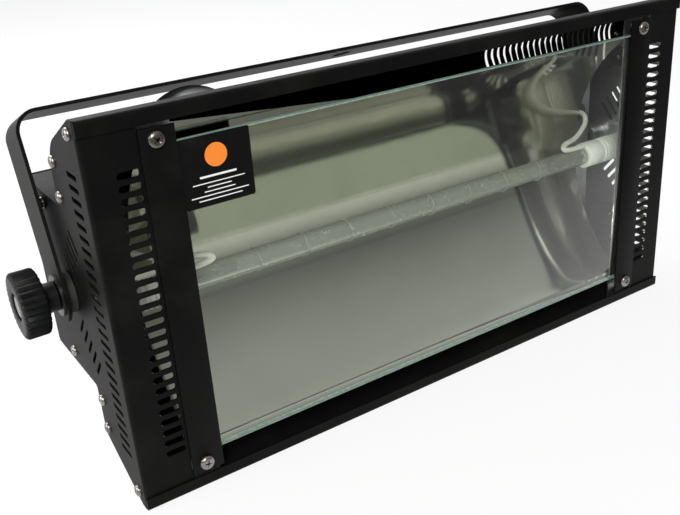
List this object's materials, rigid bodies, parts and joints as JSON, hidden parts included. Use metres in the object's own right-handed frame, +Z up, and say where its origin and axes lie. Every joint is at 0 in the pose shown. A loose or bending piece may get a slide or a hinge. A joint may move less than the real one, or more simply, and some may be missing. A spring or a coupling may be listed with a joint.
{
  "type": "stroboscope",
  "caption": "Box-shaped strobe light with a straight flash tube in a trough reflector behind a glass front, slotted folded steel casing and a tilting yoke with clamp knobs.",
  "frame": {"origin": "middle of the hanging hole in the yoke's cross bar, at its outer face", "axes": "+X to the right as seen from the front, +Y to the rear, +Z up, with the front glass upright"},
  "size_m": [0.4856, 0.1426, 0.22],
  "materials": {
    "black_paint": "fine satin powder coat",
    "zinc_steel": "zinc plated",
    "black_screw": "black zinc",
    "black_rubber": "matte",
    "black_plastic": "fine moulded texture",
    "gloss_black": "polished",
    "clear_glass": "float glass with green edges",
    "quartz": "clear quartz",
    "label_film": "printed film",
    "bright_aluminium": "semi-specular rolled sheet",
    "tungsten": "dull",
    "nickel_wire": "drawn",
    "white_ceramic": "unglazed ceramic",
    "white_sleeve": "braided glass sleeve",
    "green_board": "solder resist",
    "blue_sleeve": "shrink sleeve on a can",
    "core_iron": "varnished laminations",
    "copper_winding": "enamelled wire",
    "potting": "cast resin"
  },
  "bodies": {
    "yoke": {"yoke_bracket": "black_paint", "clamp_washers": "zinc_steel"},
    "knob_right": {"knob_right": "black_plastic", "knob_stud_right": "zinc_steel"},
    "knob_left": {"knob_left": "black_plastic", "knob_stud_left": "zinc_steel"},
    "impeller": {"blower_impeller": "black_plastic"},
    "rocker": {"switch_rocker": "gloss_black"},
    "rate_dial": {"rate_knob": "black_plastic", "rate_shaft": "zinc_steel"},
    "intensity_dial": {"intensity_knob": "black_plastic", "intensity_shaft": "zinc_steel"},
    "housing": {"friction_washers": "black_rubber", "pivot_bosses": "zinc_steel", "side_plate_right": "black_paint", "side_plate_left": "black_paint", "side_screws_right": "black_screw", "side_screws_left": "black_screw", "wall_top": "black_paint", "wall_bottom": "black_paint", "rear_box_top": "black_paint", "rear_box_bottom": "black_paint", "rear_panel": "black_paint", "panel_screws": "black_screw", "partition_plate": "zinc_steel", "glass_pane": "clear_glass", "glass_gaskets": "black_rubber", "glass_strip_right": "black_paint", "glass_strip_left": "black_paint", "glass_rails": "black_paint", "strip_sleeves": "zinc_steel", "strip_screws": "black_screw", "label_plate": "label_film", "reflector": "bright_aluminium", "reflector_standoffs": "zinc_steel", "lamp_tube": "quartz", "lamp_electrodes": "tungsten", "trigger_wire": "nickel_wire", "lamp_caps": "white_ceramic", "lamp_holders": "zinc_steel", "lamp_leads": "white_sleeve", "lead_grommets": "black_rubber", "terminal_blocks": "white_ceramic", "blower_scroll": "black_plastic", "blower_motor": "zinc_steel", "power_inlet": "black_plastic", "fuse_holder": "black_plastic", "switch_frame": "black_plastic", "control_sockets": "black_plastic", "pot_bodies": "zinc_steel", "control_board": "green_board", "power_board": "green_board", "board_standoffs": "zinc_steel", "capacitors": "blue_sleeve", "capacitor_clamp": "zinc_steel", "choke_core": "core_iron", "choke_winding": "copper_winding", "trigger_transformer": "potting"}
  },
  "joints": [
    {"name": "tilt", "type": "hinge", "parent": "yoke", "child": "housing", "pos_m": [0, -0.03408, -0.09465], "axis": [1, 0, 0], "range_deg": [-22, 156]},
    {"name": "knob_right_turn", "type": "hinge", "parent": "housing", "child": "knob_right", "pos_m": [0.23, -0.03408, -0.09465], "axis": [1, 0, 0], "range_deg": [0, 360]},
    {"name": "knob_left_turn", "type": "hinge", "parent": "housing", "child": "knob_left", "pos_m": [-0.23, -0.03408, -0.09465], "axis": [-1, 0, 0], "range_deg": [0, 360]},
    {"name": "impeller_spin", "type": "hinge", "parent": "housing", "child": "impeller", "pos_m": [-0.118, -0.02308, -0.03585], "axis": [0, 1, 0], "continuous": true},
    {"name": "rocker_tip", "type": "hinge", "parent": "housing", "child": "rocker", "pos_m": [-0.098, 0.02092, -0.09465], "axis": [1, 0, 0], "range_deg": [-16, 0]},
    {"name": "rate_turn", "type": "hinge", "parent": "housing", "child": "rate_dial", "pos_m": [0.115, 0.02692, -0.09465], "axis": [0, -1, 0], "range_deg": [-150, 150]},
    {"name": "intensity_turn", "type": "hinge", "parent": "housing", "child": "intensity_dial", "pos_m": [0.16, 0.02692, -0.09465], "axis": [0, -1, 0], "range_deg": [-150, 150]}
  ]
}
